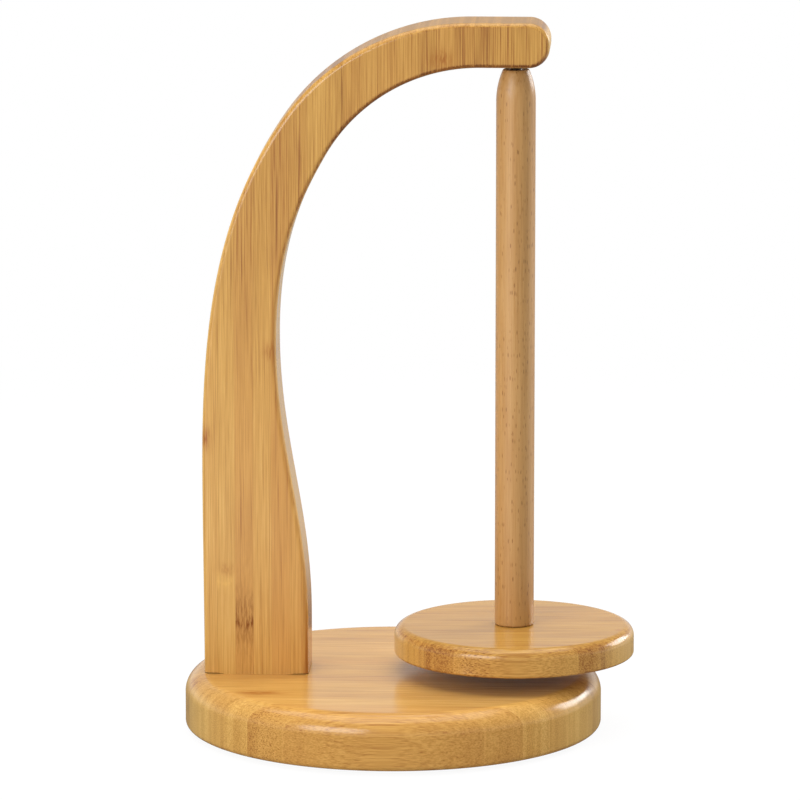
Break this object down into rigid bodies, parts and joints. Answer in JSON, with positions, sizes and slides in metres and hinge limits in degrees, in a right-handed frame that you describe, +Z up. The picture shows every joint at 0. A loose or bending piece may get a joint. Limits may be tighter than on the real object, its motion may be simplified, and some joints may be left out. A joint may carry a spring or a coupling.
{
  "type": "yarn spinner",
  "caption": "Tabletop yarn spinner: a round wooden base, a hooked arm and a hanging spindle with a platter, which turns freely on a magnetic ball pivot and comes off to load yarn.",
  "frame": {"origin": "on the table, under the middle of the part's box: 6.25 mm from the base's axis towards the spindle", "axes": "+X from the arm's leg towards the spindle, +Y to the back, +Z up along the spindle"},
  "size_m": [0.1724, 0.16, 0.274],
  "materials": {
    "bamboo": "satin varnish",
    "beech": "satin",
    "steel": "satin",
    "nickel": "plated",
    "brass": "turned",
    "rubber": "matt"
  },
  "bodies": {
    "stand": {"base": "bamboo", "arm": "bamboo", "arm_bolt_back": "steel", "arm_bolt_front": "steel", "arm_washer_back": "steel", "arm_washer_front": "steel", "arm_insert_back": "brass", "arm_insert_front": "brass", "pad_front_left": "rubber", "pad_front_right": "rubber", "pad_rear_left": "rubber", "pad_rear_right": "rubber", "arm_magnet": "nickel"},
    "pivot": {"pivot_ball": "steel"},
    "spindle": {"spindle_rod": "beech", "rod_magnet": "nickel", "platter": "bamboo", "platter_screw": "steel"}
  },
  "joints": [
    {"name": "pull_off", "type": "slide", "parent": "stand", "child": "pivot", "axis": [0, -1, 0], "range_m": [0, 0.15]},
    {"name": "spindle_spin", "type": "hinge", "parent": "pivot", "child": "spindle", "pos_m": [0.04025, 0, 0.2544], "axis": [0, 0, 1], "continuous": true}
  ]
}
